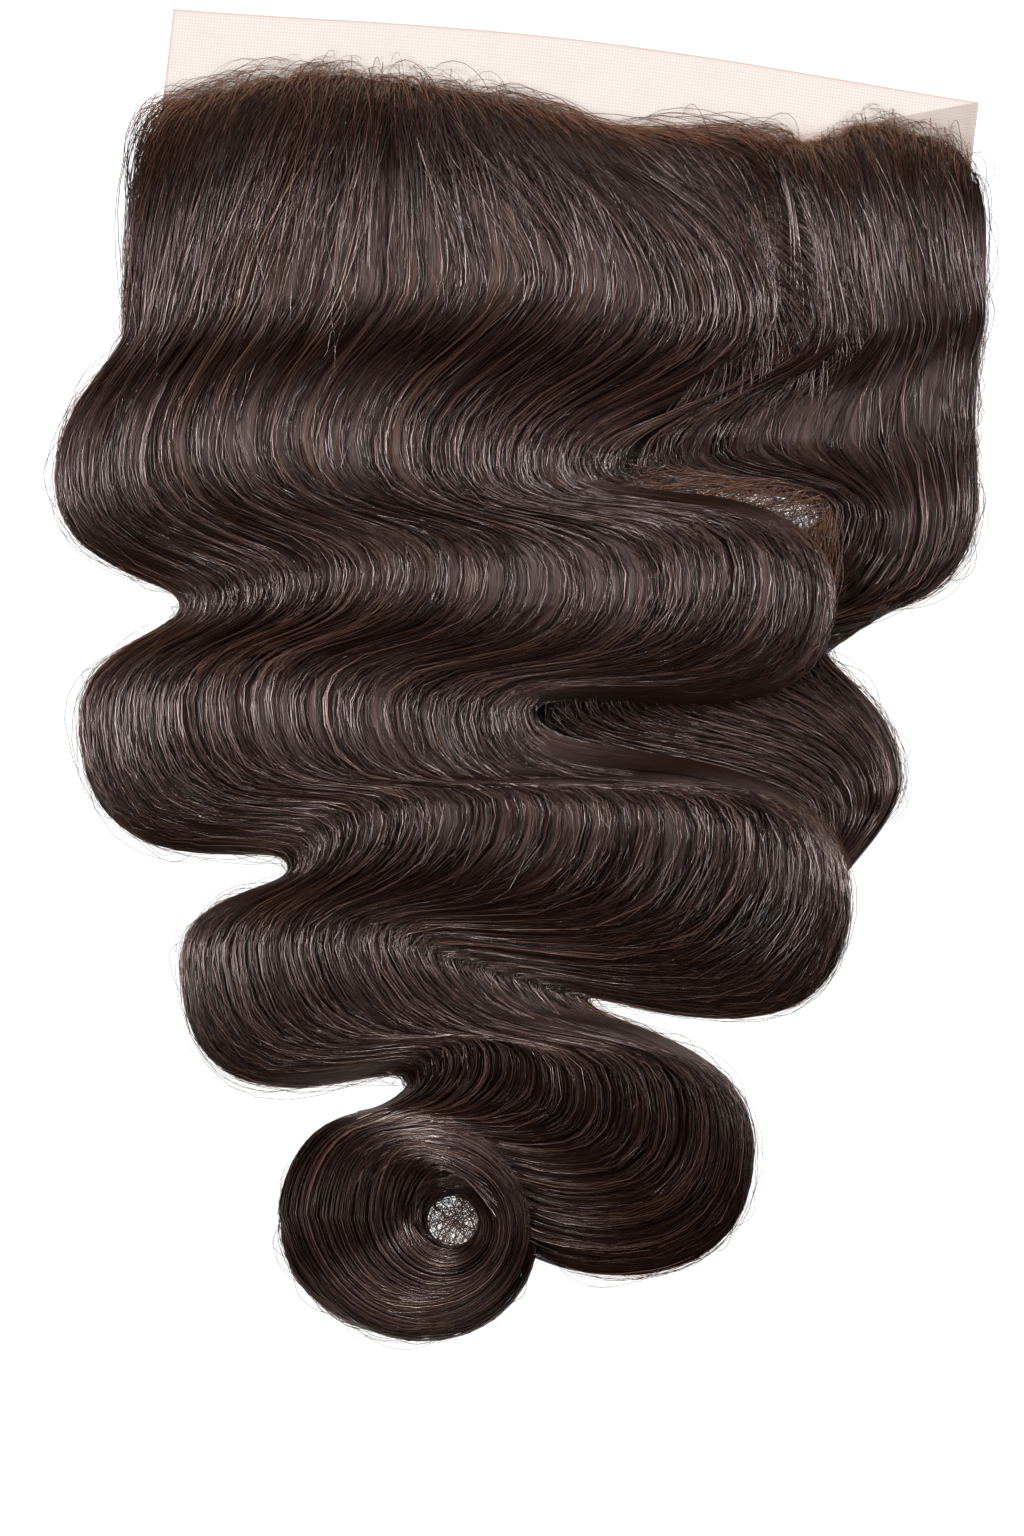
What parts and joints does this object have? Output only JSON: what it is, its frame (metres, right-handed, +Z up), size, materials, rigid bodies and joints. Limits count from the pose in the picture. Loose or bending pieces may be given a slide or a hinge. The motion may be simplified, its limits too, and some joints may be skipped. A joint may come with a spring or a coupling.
{
  "type": "lace frontal hairpiece",
  "caption": "Flat lace frontal hairpiece: a sheer lace strip with long dark brown body-wave hair knotted behind its front edge, laid out flat and ending in a round curl.",
  "frame": {"origin": "Centre of the underside of the lace strip, on the surface that the hairpiece lies on.", "axes": "+X runs to the right along the lace, +Y points from the hair's ends towards the lace's front edge, +Z points up out of the surface."},
  "size_m": [0.378, 0.5393, 0.0207],
  "materials": {
    "lace": "sheer fine net, matte",
    "hair": "dark brown hair, satin sheen along the strands"
  },
  "bodies": {
    "root": {"lace_net": "lace", "main_fall_1": "hair", "main_fall_2": "hair", "main_fall_3": "hair", "main_fall_4": "hair", "main_fall_5": "hair", "side_fall_1": "hair", "side_fall_2": "hair", "side_fall_3": "hair", "end_curl": "hair"}
  },
  "joints": []
}
